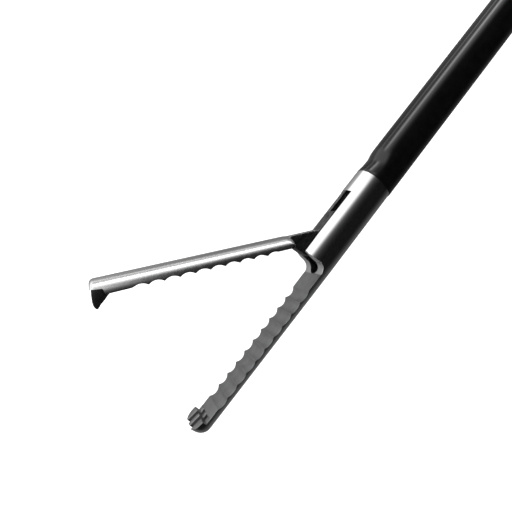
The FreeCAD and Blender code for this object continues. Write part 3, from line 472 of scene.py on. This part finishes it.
def corner(start, tip, end, steps=CORNER_STEPS):
    """A rounded corner from start to end around its tip."""
    bend = []
    for index in range(steps + 1):
        share = index / steps
        bend.append(tuple((1 - share) ** 2 * a + 2 * share * (1 - share) * b + share ** 2 * c
                          for a, b, c in zip(start, tip, end)))
    return bend


def quarter_round(past, size):
    """How far a quarter round of that size has turned away, that far past its start."""
    if past <= 0:
        return 0.0
    return size - math.sqrt(size ** 2 - min(past, size) ** 2)


def half_round(radius, centre, level, ease, under):
    """A closed half-round outline. under is True where the round side is below the level, towards -Y."""
    edge = math.degrees(math.acos((level - centre) / radius))
    width = radius * math.sin(math.radians(edge))
    lead = math.degrees(ease / radius)
    if under:
        curve = arc(radius, centre, edge + lead, 360 - edge - lead, 72)
    else:
        curve = arc(radius, centre, edge - lead, lead - edge, 72)
    right = corner((level, width - ease), (level, width), curve[0])
    left = corner(curve[-1], (level, -width), (level, ease - width))
    return right[:-1] + curve + left[1:]


def groove_depth(reach, first, sizes):
    """Depth of the scalloped bite at a reach, from its first ridge on; its ridges are slightly blunt."""
    pitch = sizes.tooth_pitch
    depth = sizes.tooth_depth
    bow = (pitch ** 2 / 4 + depth ** 2) / (2 * depth)
    total = 0.0
    for nudge in RIDGE_NUDGES:
        place = (reach + nudge - first) / pitch
        if 0 <= place < sizes.tooth_count:
            offset = (place - math.floor(place) - 0.5) * pitch
            total += math.sqrt(bow ** 2 - offset ** 2) - (bow - depth)
    return total / len(RIDGE_NUDGES)


def belly_radius(reach):
    """Radius of the fixed jaw's belly, which narrows to the tip and is rounded there."""
    sizes = bpy.context.scene.forceps_jaws
    share = (reach - SLEEVE_REACH) / (JAW_REACH - SLEEVE_REACH)
    radius = sizes.sleeve_radius + (sizes.tip_radius - sizes.sleeve_radius) * max(0.0, share)
    return radius - quarter_round(reach - (JAW_REACH - BELLY_NOSE), BELLY_NOSE)


def foot_rise(reach):
    """How far the fixed jaw's face rises to the sleeve."""
    return quarter_round(SLEEVE_REACH + FOOT - reach, FOOT)


def jaw_beam(shell):
    """The fixed jaw's half-round belly with the scalloped bite."""
    sizes = bpy.context.scene.forceps_jaws
    bite_end = BITE_START + sizes.tooth_pitch * sizes.tooth_count
    reaches = spaced(SLOT_END, BITE_START - 0.1, 0.6)
    reaches += spaced(BITE_START - BITE_MARGIN, bite_end + BITE_MARGIN, BITE_STEP)
    reaches += spaced(bite_end + 0.1, COMB_REACH, 0.3)
    stations = []
    for reach in reaches:
        level = FACE - groove_depth(reach, BITE_START, sizes)
        stations.append((-reach, half_round(belly_radius(reach), 0.0, level, sizes.edge_round, True)))
    count = len(stations[0][1])
    shell.loft(stations, bite=set(range(CORNER_STEPS)) | set(range(count - 1 - CORNER_STEPS, count)))


def jaw_foot(shell, side):
    """One side of the slot's round end, with the foot that rises to the sleeve."""
    ease = bpy.context.scene.forceps_jaws.edge_round
    wall_ease = 0.06
    reaches = spaced(SLOT_END, SLOT_END - SLOT_HALF, 0.08)
    reaches += spaced(SLOT_END - 1.0, SLEEVE_REACH - 0.3, 0.04)
    stations = []
    for reach in reaches:
        inner = SLOT_HALF
        if reach > SLOT_END - SLOT_HALF:
            inner = math.sqrt(max(1e-6, SLOT_HALF ** 2 - (reach - SLOT_END + SLOT_HALF) ** 2))
        radius = belly_radius(reach)
        level = FACE + foot_rise(reach)
        width = math.sqrt(radius ** 2 - level ** 2)
        edge = math.degrees(math.acos(level / radius))
        low = 180 - math.degrees(math.asin(inner / radius))
        curve = arc(radius, 0.0, edge + math.degrees(ease / radius), low, 36)
        outline = corner((level, width - ease), (level, width), curve[0])[:-1] + curve
        outline += corner((level - wall_ease, inner), (level, inner), (level, inner + wall_ease))
        stations.append((-reach, [(y, z * side) for y, z in outline]))
    count = len(stations[0][1])
    # The slot's round end wall gets the slot steel's painted shade.
    shell.loft(stations, bite=range(count - CORNER_STEPS - 2, count - 1), bite_kind=2)


def comb(shell):
    """The three prongs at the fixed jaw's tip."""
    sides = ((-math.inf, -PRONG_OUTER), (-PRONG_INNER, PRONG_INNER), (PRONG_OUTER, math.inf))
    reaches = spaced(COMB_REACH - 0.05, PRONG_REACH - 0.02, 0.2)
    reaches += spaced(PRONG_REACH, JAW_REACH - 0.03, 0.06)
    ease = PRONG_EASE
    for low, high in sides:
        stations = []
        for reach in reaches:
            radius = belly_radius(reach)
            level = FACE
            if reach >= PRONG_REACH:
                level = PRONG_LEVEL + PRONG_SLOPE * (reach - PRONG_REACH)
            width = math.sqrt(radius ** 2 - level ** 2)
            inside = max(low, -width)
            outside = min(high, width)
            outline = corner((level - ease, inside), (level, inside), (level, inside + ease), 3)
            outline += corner((level, outside - ease), (level, outside), (level - ease, outside), 3)
            for index in range(PRONG_STEPS + 1):
                z = outside + (inside - outside) * index / PRONG_STEPS
                outline.append((-math.sqrt(radius ** 2 - z ** 2), z))
            stations.append((-reach, outline))
        shell.loft(stations, bite=range(8))


def slot_lip(curve, bevelled):
    """The eased edge between the slot's bevel and the sleeve's outside."""
    return corner((curve[0][0] - 0.03, bevelled - 0.04), curve[0], curve[1], 3)


def cheek_outline(radius, inset, side):
    """One cheek of the slotted sleeve, drawn in by inset, with the slot's edge bevelled."""
    inner = SLOT_HALF + inset
    radius = radius - inset
    bevelled = SLOT_HALF + SLOT_BEVEL + inset
    first = math.degrees(math.asin(bevelled / radius))
    last = math.degrees(math.asin(inner / radius))
    curve = arc(radius, 0.0, first, 180 - last, 48)
    outline = slot_lip(curve, bevelled) + curve[2:] + [(curve[0][0] - SLOT_BEVEL, inner)]
    return [(y, z * side) for y, z in outline]


def trough_outline(radius):
    """The slotted sleeve where its floor is closed."""
    bevelled = SLOT_HALF + SLOT_BEVEL
    first = math.degrees(math.asin(bevelled / radius))
    curve = arc(radius, 0.0, first, 360 - first, 96)
    start = slot_lip(curve, bevelled)
    end = [(y, -z) for y, z in reversed(start)]
    shoulder = curve[0][0] - SLOT_BEVEL
    walls = [(shoulder, -SLOT_HALF), (SLOT_FLOOR, -SLOT_HALF), (SLOT_FLOOR, SLOT_HALF), (shoulder, SLOT_HALF)]
    return start + curve[2:-2] + end + walls


def sleeve(shell):
    """The polished sleeve with the slot for the tang, and its bored spigot inside the insulation."""
    radius = bpy.context.scene.forceps_jaws.sleeve_radius
    for side in (1, -1):
        stations = []
        for index in range(5):
            turn = math.radians(90 * index / 4)
            inset = SLEEVE_EASE * (1 - math.sin(turn))
            x = -SLEEVE_REACH + SLEEVE_EASE * (1 - math.cos(turn))
            stations.append((x, cheek_outline(radius, inset, side)))
        stations.append((-THROUGH_REACH, cheek_outline(radius, 0.0, side)))
        # The slot's inner walls and floor get the slot steel's painted shade.
        last = len(stations[0][1]) - 1
        shell.loft(stations, bite={last - 1, last}, bite_kind=2)
    trough = trough_outline(radius)
    count = len(trough)
    shell.loft([(-THROUGH_REACH, trough), (-SLOT_REACH, trough)], bite=range(count - 5, count), bite_kind=2)
    ring = circle(radius)
    spigot = circle(SPIGOT_RADIUS)
    bore = circle(ROD_BORE)
    shell.loft([(-SLOT_REACH, ring), (-2.0, ring), (-SLEEVE_REAR, ring), (-SPIGOT_REACH, spigot),
                (SPIGOT_END, spigot), (SPIGOT_END, bore), (-SLOT_REACH, bore)], hollow=True)


class FORCEPS_OT_fixed_jaw(bpy.types.Operator):
    """Builds the sleeve and the fixed jaw in one piece"""
    bl_idname = "forceps.fixed_jaw"
    bl_label = "Fixed jaw and sleeve"

    def execute(self, context):
        shell = Shell()
        jaw_beam(shell)
        jaw_foot(shell, 1)
        jaw_foot(shell, -1)
        comb(shell)
        sleeve(shell)
        finishes = ["polished_steel", "bite_steel", "shaded_slot_steel"]
        shell.piece("fixed_jaw", finishes, "shaft", ["jaw_housing"])
        return {"FINISHED"}


def back_reaches(first, last):
    """Stations of the moving jaw, close where it is rounded or scalloped."""
    reaches = spaced(BACK_ROOT, BACK_ROOT + 1.2, 0.06)
    reaches += spaced(BACK_ROOT + 1.4, 16.3, 0.3)
    reaches += spaced(first - BITE_MARGIN, last + BITE_MARGIN, BITE_STEP)
    reaches += spaced(last + 0.3, POCKET_REACH - 0.3, 0.3)
    reaches += spaced(POCKET_REACH - 0.25, BACK_END - 0.1, 0.05)
    reaches += spaced(BACK_END - 0.08, BACK_END - 0.004, 0.02)
    return reaches


def back_level(reach, share, first, last):
    """Level of the moving jaw's underside: its scallops, the nose's pocket and the room for the foot."""
    level = BACK_FACE + groove_depth(reach, first, bpy.context.scene.forceps_jaws)
    if first < reach < last:
        lead = min(1.0, (reach - first) / INTERLOCK_LEAD, (last - reach) / INTERLOCK_LEAD)
        level -= INTERLOCK * (1.3 - 0.9 * share) * lead
    if reach > POCKET_REACH - POCKET_LEAD:
        pocket = POCKET_TOP + PRONG_SLOPE * (reach - POCKET_REACH)
        level += (pocket - BACK_FACE) * min(1.0, (reach - POCKET_REACH + POCKET_LEAD) / POCKET_LEAD)
    return level + foot_rise(reach)


def jaw_back(shell):
    """The moving jaw's half-round back with its scalloped edge and the nose's pocket."""
    sizes = bpy.context.scene.forceps_jaws
    first = BITE_START - sizes.tooth_pitch / 2
    last = first + sizes.tooth_pitch * sizes.tooth_count
    stations = []
    for reach in back_reaches(first, last):
        share = (reach - BACK_ROOT) / (BACK_END - BACK_ROOT)
        heel = quarter_round(BACK_ROOT + HEEL - reach, HEEL)
        radius = BACK_RADIUS - BACK_TAPER * share - heel * HEEL_NARROWING
        top = BACK_TOP + BACK_RISE * share - heel * HEEL_DROP
        level = back_level(reach, share, first, last)
        outline = half_round(radius, top - radius, level, sizes.edge_round * 0.5, False)
        drawn = quarter_round(reach - (BACK_END - NOSE_SIDE_ROUND), NOSE_SIDE_ROUND)
        lowered = quarter_round(reach - (BACK_END - NOSE_TOP_ROUND), NOSE_TOP_ROUND)
        if drawn:
            width = max(z for y, z in outline)
            outline = [(y - lowered * max(0.0, (y - level) / (top - level)), z * (width - drawn) / width)
                       for y, z in outline]
        stations.append((-reach, outline))
    count = len(stations[0][1])
    shell.loft(stations, bite={0, 1, count - 3, count - 2, count - 1})


def beak(shell):
    """The two teeth under the moving jaw's nose."""
    outline = [(-34.4, 0.15), (-34.4, -0.45), (-34.5, -0.8), (-34.95, -0.84), (-35.03, -0.99), (-35.3, -1.2),
               (-35.6, -1.5), (-36.06, -1.84), (-36.42, -2.25), (-36.6, -2.25), (-36.8, -1.9), (-36.84, -1.4),
               (-36.78, -0.8), (-36.7, -0.2), (-36.5, 0.15)]
    for middle in (-BEAK_MIDDLE, BEAK_MIDDLE):
        shell.plate(outline, middle - BEAK_HALF, middle + BEAK_HALF, bevel=0.12)


def tang(shell):
    """The flat tang that runs into the slot, with its rounded pivot end and its polished upper edge. Its body
    has the slot steel's painted shade; the upper edge is a thin proud strip of the jaw's back steel.
    """
    outline = [(-16.0, -0.80), (-16.0, 0.15), (-14.8, 0.20), (-14.45, 0.42), (-10.7, 0.40)]
    outline += [(PIVOT[0] + EYE_RADIUS * math.cos(turn), PIVOT[1] + EYE_RADIUS * math.sin(turn))
                for turn in [math.radians(150 - 15 * index) for index in range(13)]]
    outline += [(-7.4, -1.2), (-7.75, -1.75), (-8.3, -1.9), (-11.2, -2.34), (-12.75, -2.34), (-13.25, -1.97),
                (-14.22, -1.0), (-14.34, -0.80)]
    shell.plate(outline, -TANG_HALF, TANG_HALF, bevel=0.06, kind=2)
    rail = [(-15.4, 0.02), (-14.8, 0.22), (-14.45, 0.44), (-10.7, 0.42), (-10.7, 0.3), (-14.4, 0.3),
            (-14.8, 0.02)]
    proud = 0.005
    shell.plate(rail, -TANG_HALF - proud, TANG_HALF + proud, bevel=0.03)


class FORCEPS_OT_moving_jaw(bpy.types.Operator):
    """Builds the moving jaw with its teeth and tang, and opens it"""
    bl_idname = "forceps.moving_jaw"
    bl_label = "Moving jaw"

    def execute(self, context):
        shell = Shell()
        jaw_back(shell)
        beak(shell)
        tang(shell)
        pivot = Vector((*PIVOT, 0.0))
        turn = Matrix.Rotation(-context.scene.forceps_jaws.open_angle, 4, "Z")
        shell.move(Matrix.Translation(pivot) @ turn @ Matrix.Translation(-pivot))
        finishes = ["back_steel", "bite_steel", "shaded_slot_steel"]
        shell.piece("moving_jaw_dressed", finishes, "jaw", ["moving_jaw"])
        return {"FINISHED"}


def trim(turn):
    """Where along X the hand-cut end of the insulation lies, all round it."""
    waver = bpy.context.scene.forceps_shaft.end_waver
    lip = math.exp(-((math.degrees(turn) - 88) / 30) ** 2)
    return -1.42 - 0.2 * lip + waver * 0.25 * math.sin(5 * turn + 0.5)


def outer_point(offset, turn, radius):
    """A point on the insulation's outside: its cut end, the waist behind it and the plain tube."""
    swell = math.exp(-offset / 1.1)
    waist = WAIST_DEPTH * math.exp(-((offset - WAIST_PLACE) / WAIST_LENGTH) ** 2)
    pinch = (0.05 * swell + waist) * max(0.0, math.cos(turn + 0.4))
    ripple = 0.018 * swell * math.sin(3 * turn + 1.1 + offset * 1.7)
    radius = radius - pinch + ripple - max(0.0, CUT_EDGE - offset)
    x = offset + trim(turn) * math.exp(-offset / 2.5)
    return x, radius * math.cos(turn), radius * math.sin(turn)


def inner_point(offset, turn, radius):
    """A point on the insulation's inside, which opens to a thin wall at its cut end."""
    x = offset
    if offset < 1:
        x += trim(turn)
        radius -= CUT_WALL
    else:
        radius = TUBE_BORE
    return x, radius * math.cos(turn), radius * math.sin(turn)


class FORCEPS_OT_insulation(bpy.types.Operator):
    """Builds the black insulation with its hand-trimmed front end"""
    bl_idname = "forceps.insulation"
    bl_label = "Insulation"

    def execute(self, context):
        radius = context.scene.forceps_shaft.radius
        outer = (0.0, 0.03, 0.1, 0.3, 0.6, 0.9, 1.2, 1.5, 1.8, 2.2, 2.6, 3.0, 4.5, 7.0, 20.0, 80.0, 160.0,
                 240.0, TUBE_END)
        inner = (TUBE_END, 5.0, CUT_EDGE)
        turns = [2 * math.pi * index / TUBE_STEPS for index in range(TUBE_STEPS)]
        points = [outer_point(offset, turn, radius) for offset in outer for turn in turns]
        points += [inner_point(offset, turn, radius) for offset in inner for turn in turns]
        rows = len(outer) + len(inner)
        faces = []
        for row in range(rows):
            near = row * TUBE_STEPS
            far = (row + 1) % rows * TUBE_STEPS
            for index in range(TUBE_STEPS):
                beside = (index + 1) % TUBE_STEPS
                faces.append([near + index, near + beside, far + beside, far + index])
        shell = Shell()
        shell.add(points, faces, [0] * len(faces))
        shell.piece("insulation_tube", ["gloss_insulation"], "shaft", ["shaft_insulation"],
                    crease=60.0)
        return {"FINISHED"}


class FORCEPS_OT_linkage(bpy.types.Operator):
    """Dresses the pins, the drive link and the push rod"""
    bl_idname = "forceps.linkage"
    bl_label = "Linkage"

    def execute(self, context):
        # The pins, link and fork inside the slot get the slot steel's painted shade.
        dress("shaded_slot_steel", "jaw_pivot_pin", "link_front_pin", "link_rear_pin", "drive_link", "rod_fork")
        dress("satin_steel", "push_rod", "shaft_tube", "shaft_collar")
        dress("polished_steel", "rod_ball")
        dress("seal_rubber", "shaft_seal")
        return {"FINISHED"}


class FORCEPS_OT_knob(bpy.types.Operator):
    """Dresses the rotation knob, its bearing and the cleaning port"""
    bl_idname = "forceps.knob"
    bl_label = "Rotation knob"

    def execute(self, context):
        dress("moulded_plastic", "rotation_knob")
        dress("polished_steel", "flush_port")
        dress("seal_rubber", "flush_cap")
        dress("satin_steel", "knob_bearing")
        return {"FINISHED"}


class FORCEPS_OT_handle(bpy.types.Operator):
    """Dresses the handle's shells, screws, electrode post and catch"""
    bl_idname = "forceps.handle"
    bl_label = "Handle"

    def execute(self, context):
        dress("moulded_plastic", "handle_shell_left", "handle_shell_right", "hf_insulator")
        dress("satin_steel", "shell_screws", "lever_pivot_screw", "pawl_pin", "pawl_spring", "ratchet_pawl")
        dress("polished_steel", "hf_post")
        return {"FINISHED"}


class FORCEPS_OT_lever(bpy.types.Operator):
    """Dresses the thumb lever with its toothed bar"""
    bl_idname = "forceps.lever"
    bl_label = "Thumb lever"

    def execute(self, context):
        dress("moulded_plastic", "thumb_lever")
        dress("satin_steel", "ratchet_bar", "ratchet_rivet")
        return {"FINISHED"}


# Stage

# The studio that polished metal mirrors: angle about the shaft from +Y towards +Z, and brightness, straight
# across the shaft and slantwise along it.
ACROSS = [
    (-180, 0.05), (-162, 0.10), (-140, 0.14), (-112, 0.20), (-90, 0.26), (-68, 0.33), (-50, 0.42), (-42, 0.54),
    (-36, 0.8), (-31, 1.4), (34, 1.4), (40, 1.1), (45, 0.65), (50, 0.32), (55, 0.16), (61, 0.085), (73, 0.03),
    (86, 0.012), (98, 0.006), (155, 0.006), (174, 0.034), (180, 0.05),
]
SLANTWISE = [
    (-180, 0.05), (-162, 0.10), (-140, 0.14), (-112, 0.20), (-90, 0.24), (-66, 0.25), (-51, 0.27), (-40, 0.33),
    (-33, 0.40), (-30, 1.5), (-27, 1.5), (-24, 0.45), (-13, 0.60), (-5, 0.85), (-2, 3.9), (7, 3.9), (11, 2.0),
    (17, 1.25), (23, 0.92), (28, 0.58), (32, 0.34), (37, 0.17), (43, 0.07), (50, 0.035), (58, 0.03),
    (66, 0.028), (73, 0.025), (86, 0.010), (98, 0.004), (155, 0.004), (174, 0.03), (180, 0.05),
]


PEAK = 4.0
WHITE = (1.0, 1.0, 1.0, 1.0)


def math_node(tree, operation, *sources):
    """A sum of numbers and sockets in a node tree."""
    node = tree.nodes.new("ShaderNodeMath")
    node.operation = operation
    for place, source in zip(node.inputs, sources):
        if isinstance(source, (int, float)):
            place.default_value = source
        else:
            tree.links.new(source, place)
    return node.outputs["Value"]


def mixed(tree, factor, first, second):
    """Two shaders mixed by a factor."""
    mix = tree.nodes.new("ShaderNodeMixShader")
    for place, source in zip(mix.inputs, (factor, first, second)):
        tree.links.new(source, place)
    return mix.outputs["Shader"]


def band(tree, share, levels):
    """Brightness by the angle about the shaft; share is that angle as a share of the full turn."""
    ramp = tree.nodes.new("ShaderNodeFloatCurve")
    curve = ramp.mapping.curves[0]
    curve.points[0].location = (0.0, levels[0][1] / PEAK)
    curve.points[1].location = (1.0, levels[-1][1] / PEAK)
    for degrees, level in levels[1:-1]:
        curve.points.new((degrees + 180) / 360, level / PEAK)
    for point in curve.points:
        point.handle_type = "VECTOR"
    ramp.mapping.update()
    tree.links.new(share, ramp.inputs["Value"])
    return math_node(tree, "MULTIPLY", ramp.outputs["Value"], PEAK)


def studio_level(tree):
    """Brightness of the studio in the direction of a mirrored ray."""
    place = tree.nodes.new("ShaderNodeTexCoord")
    split = tree.nodes.new("ShaderNodeSeparateXYZ")
    tree.links.new(place.outputs["Generated"], split.inputs["Vector"])
    angle = math_node(tree, "ARCTAN2", split.outputs["Z"], split.outputs["Y"])
    share = math_node(tree, "MULTIPLY_ADD", angle, 1 / (2 * math.pi), 0.5)
    slant = tree.nodes.new("ShaderNodeMapRange")
    slant.interpolation_type = "SMOOTHSTEP"
    slant.inputs["From Min"].default_value = 0.42
    slant.inputs["From Max"].default_value = 0.52
    tree.links.new(math_node(tree, "ABSOLUTE", split.outputs["X"]), slant.inputs["Value"])
    mix = tree.nodes.new("ShaderNodeMix")
    mix.data_type = "FLOAT"
    tree.links.new(slant.outputs["Result"], mix.inputs[0])
    tree.links.new(band(tree, share, ACROSS), mix.inputs[2])
    tree.links.new(band(tree, share, SLANTWISE), mix.inputs[3])
    return mix.outputs[0]


def studio_world(settings):
    """White for the camera, the studio's bands for mirrored rays, and soft light for the rest."""
    world = bpy.data.worlds.new("studio")
    world.use_nodes = True
    tree = world.node_tree
    tree.nodes.clear()
    soft, mirror, white = [tree.nodes.new("ShaderNodeBackground") for part in range(3)]
    for node in (soft, mirror, white):
        node.inputs["Color"].default_value = WHITE
    soft.inputs["Strength"].default_value = settings.ambient
    white.inputs["Strength"].default_value = 1.0
    tree.links.new(studio_level(tree), mirror.inputs["Strength"])
    rays = tree.nodes.new("ShaderNodeLightPath").outputs
    lit = mixed(tree, rays["Is Glossy Ray"], soft.outputs["Background"], mirror.outputs["Background"])
    direct = math_node(tree, "MAXIMUM", rays["Is Camera Ray"], rays["Is Transmission Ray"])
    output = tree.nodes.new("ShaderNodeOutputWorld")
    tree.links.new(mixed(tree, direct, lit, white.outputs["Background"]), output.inputs["Surface"])
    bpy.context.scene.world = world


def white_floor(settings):
    """A white floor that keeps the object's shadow and that polished metal doesn't mirror."""
    half = 1.5
    z = settings.floor_height
    corners = [(-half, -half, z), (half, -half, z), (half, half, z), (-half, half, z)]
    mesh = bpy.data.meshes.new("floor")
    mesh.from_pydata(corners, [], [(0, 1, 2, 3)])
    material = bpy.data.materials.new("floor_white")
    material.use_nodes = True
    tree = material.node_tree
    tree.nodes.clear()
    paper = tree.nodes.new("ShaderNodeBsdfDiffuse")
    paper.inputs["Color"].default_value = (0.85, 0.85, 0.85, 1.0)
    glow = tree.nodes.new("ShaderNodeEmission")
    glow.inputs["Strength"].default_value = 0.72
    both = tree.nodes.new("ShaderNodeAddShader")
    tree.links.new(paper.outputs["BSDF"], both.inputs[0])
    tree.links.new(glow.outputs["Emission"], both.inputs[1])
    rays = tree.nodes.new("ShaderNodeLightPath").outputs
    mirrored = math_node(tree, "MAXIMUM", rays["Is Glossy Ray"], rays["Is Transmission Ray"])
    seen = math_node(tree, "MAXIMUM", rays["Is Camera Ray"], mirrored)
    output = tree.nodes.new("ShaderNodeOutputMaterial")
    tree.links.new(mixed(tree, seen, paper.outputs["BSDF"], both.outputs["Shader"]), output.inputs["Surface"])
    mesh.materials.append(material)
    floor = bpy.data.objects.new("floor", mesh)
    floor.visible_glossy = False
    bpy.context.scene.collection.objects.link(floor)


def lamp(name, location, size, power):
    """A square softbox that faces the front end of the insulation."""
    data = bpy.data.lights.new(name, "AREA")
    data.shape = "RECTANGLE"
    data.size = size
    data.size_y = size
    data.energy = power
    made = bpy.data.objects.new(name, data)
    made.location = location
    made.rotation_euler = (-Vector(location)).to_track_quat("-Z", "Y").to_euler()
    made.visible_glossy = False
    bpy.context.scene.collection.objects.link(made)


def photo_camera(settings):
    """The camera of the photograph, with its place and directions in metres and unit vectors."""
    place = (-0.02546, 0.01907, 0.04563)
    right = (0.616, -0.723, 0.311)
    up = (0.771, 0.634, -0.053)
    back = (-0.159, 0.273, 0.949)
    data = bpy.data.cameras.new("photo_camera")
    data.lens = settings.lens
    data.sensor_width = 36.0
    data.clip_start = 0.001
    data.clip_end = 20.0
    camera = bpy.data.objects.new("photo_camera", data)
    turn = Matrix((right, up, back)).transposed().to_4x4()
    camera.matrix_world = Matrix.Translation(place) @ turn
    bpy.context.scene.collection.objects.link(camera)
    bpy.context.scene.camera = camera


class FORCEPS_OT_stage(bpy.types.Operator):
    """Sets the white floor, the soft studio light and the camera of the photograph"""
    bl_idname = "forceps.stage"
    bl_label = "Stage"

    def execute(self, context):
        settings = context.scene.forceps_stage
        studio_world(settings)
        white_floor(settings)
        lamp("key_softbox", (0.0, 0.5, 0.6), size=0.6, power=3.0)
        lamp("fill_softbox", (0.3, -0.6, 0.5), size=0.6, power=1.6)
        photo_camera(settings)
        context.scene.view_settings.view_transform = "Standard"
        return {"FINISHED"}


class FORCEPS_PT_panel(bpy.types.Panel):
    """Lists the steps that dress the forceps"""
    bl_idname = "FORCEPS_PT_panel"
    bl_label = "Retraction forceps"
    bl_space_type = "VIEW_3D"
    bl_region_type = "UI"
    bl_category = "Forceps"

    def draw(self, context):
        for step in STEPS:
            self.layout.operator(step.bl_idname)


GROUPS = [
    ("forceps_jaws", ForcepsJawSizes),
    ("forceps_shaft", ForcepsShaftSizes),
    ("forceps_finishes", ForcepsFinishes),
    ("forceps_stage", ForcepsStageSettings),
]

STEPS = [
    FORCEPS_OT_fixed_jaw,
    FORCEPS_OT_moving_jaw,
    FORCEPS_OT_insulation,
    FORCEPS_OT_linkage,
    FORCEPS_OT_knob,
    FORCEPS_OT_handle,
    FORCEPS_OT_lever,
    FORCEPS_OT_stage,
]


def register():
    for name, group in GROUPS:
        bpy.utils.register_class(group)
        setattr(bpy.types.Scene, name, PointerProperty(type=group))
    for step in STEPS:
        bpy.utils.register_class(step)
    bpy.utils.register_class(FORCEPS_PT_panel)


def unregister():
    bpy.utils.unregister_class(FORCEPS_PT_panel)
    for step in reversed(STEPS):
        bpy.utils.unregister_class(step)
    for name, group in reversed(GROUPS):
        delattr(bpy.types.Scene, name)
        bpy.utils.unregister_class(group)


def main():
    register()
    bpy.ops.forceps.fixed_jaw()
    bpy.ops.forceps.moving_jaw()
    bpy.ops.forceps.insulation()
    bpy.ops.forceps.linkage()
    bpy.ops.forceps.knob()
    bpy.ops.forceps.handle()
    bpy.ops.forceps.lever()
    bpy.ops.forceps.stage()


if __name__ == "__main__":
    main()
